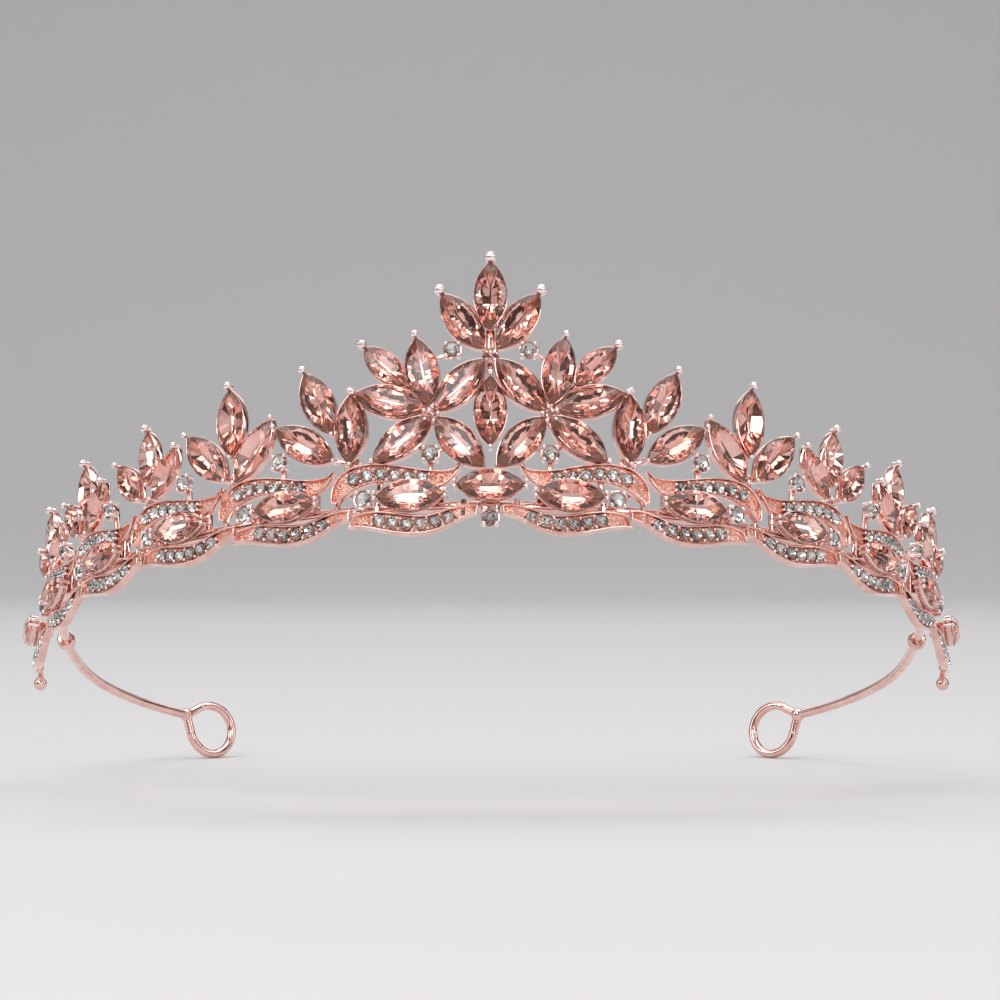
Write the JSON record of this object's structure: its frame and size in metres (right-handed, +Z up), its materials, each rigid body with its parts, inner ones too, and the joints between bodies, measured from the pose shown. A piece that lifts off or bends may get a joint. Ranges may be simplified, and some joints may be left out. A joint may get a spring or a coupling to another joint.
{
  "type": "bridal tiara",
  "caption": "Bridal tiara: a round wire hoop with end rings, a pierced band of pave leaves and marquise crystals, and crystal petal sprays rising to a peak.",
  "frame": {"origin": "centre of the hoop, where the head sits", "axes": "+X to the wearer's left, -Y the front, +Z up as worn; the hoop is leaned back 18 degrees, so its front is lifted"},
  "size_m": [0.153, 0.1276, 0.0835],
  "materials": {
    "rose_gold": "polished rose gold plate",
    "peach_crystal": "faceted, foil backed",
    "clear_crystal": "faceted, foil backed"
  },
  "bodies": {
    "root": {"hoop_wire": "rose_gold", "wire_cuffs": "rose_gold", "centre_bridge": "rose_gold", "crown_setting": "rose_gold", "drop_setting": "rose_gold", "side_flower_r": "rose_gold", "side_flower_l": "rose_gold", "upper_leaf_r1": "rose_gold", "upper_leaf_r2": "rose_gold", "upper_leaf_r3": "rose_gold", "upper_leaf_r4": "rose_gold", "upper_leaf_r5": "rose_gold", "upper_leaf_l1": "rose_gold", "upper_leaf_l2": "rose_gold", "upper_leaf_l3": "rose_gold", "upper_leaf_l4": "rose_gold", "upper_leaf_l5": "rose_gold", "lower_leaf_r1": "rose_gold", "lower_leaf_r2": "rose_gold", "lower_leaf_r3": "rose_gold", "lower_leaf_r4": "rose_gold", "lower_leaf_r5": "rose_gold", "lower_leaf_l1": "rose_gold", "lower_leaf_l2": "rose_gold", "lower_leaf_l3": "rose_gold", "lower_leaf_l4": "rose_gold", "lower_leaf_l5": "rose_gold", "end_spray_r": "rose_gold", "end_spray_l": "rose_gold", "fan_setting_r1": "rose_gold", "fan_setting_r2": "rose_gold", "fan_setting_r3": "rose_gold", "fan_setting_r4": "rose_gold", "fan_setting_r5": "rose_gold", "fan_setting_l1": "rose_gold", "fan_setting_l2": "rose_gold", "fan_setting_l3": "rose_gold", "fan_setting_l4": "rose_gold", "fan_setting_l5": "rose_gold", "band_marquise_settings": "rose_gold", "band_round_settings": "rose_gold", "accent_settings": "rose_gold", "crown_crystals": "peach_crystal", "drop_crystal": "peach_crystal", "side_flower_crystals_r": "peach_crystal", "side_flower_crystals_l": "peach_crystal", "fan_crystals_r": "peach_crystal", "fan_crystals_l": "peach_crystal", "band_crystals": "peach_crystal", "upper_pave_stones": "clear_crystal", "lower_pave_stones": "clear_crystal", "band_round_stones": "clear_crystal", "accent_stones": "clear_crystal"}
  },
  "joints": []
}
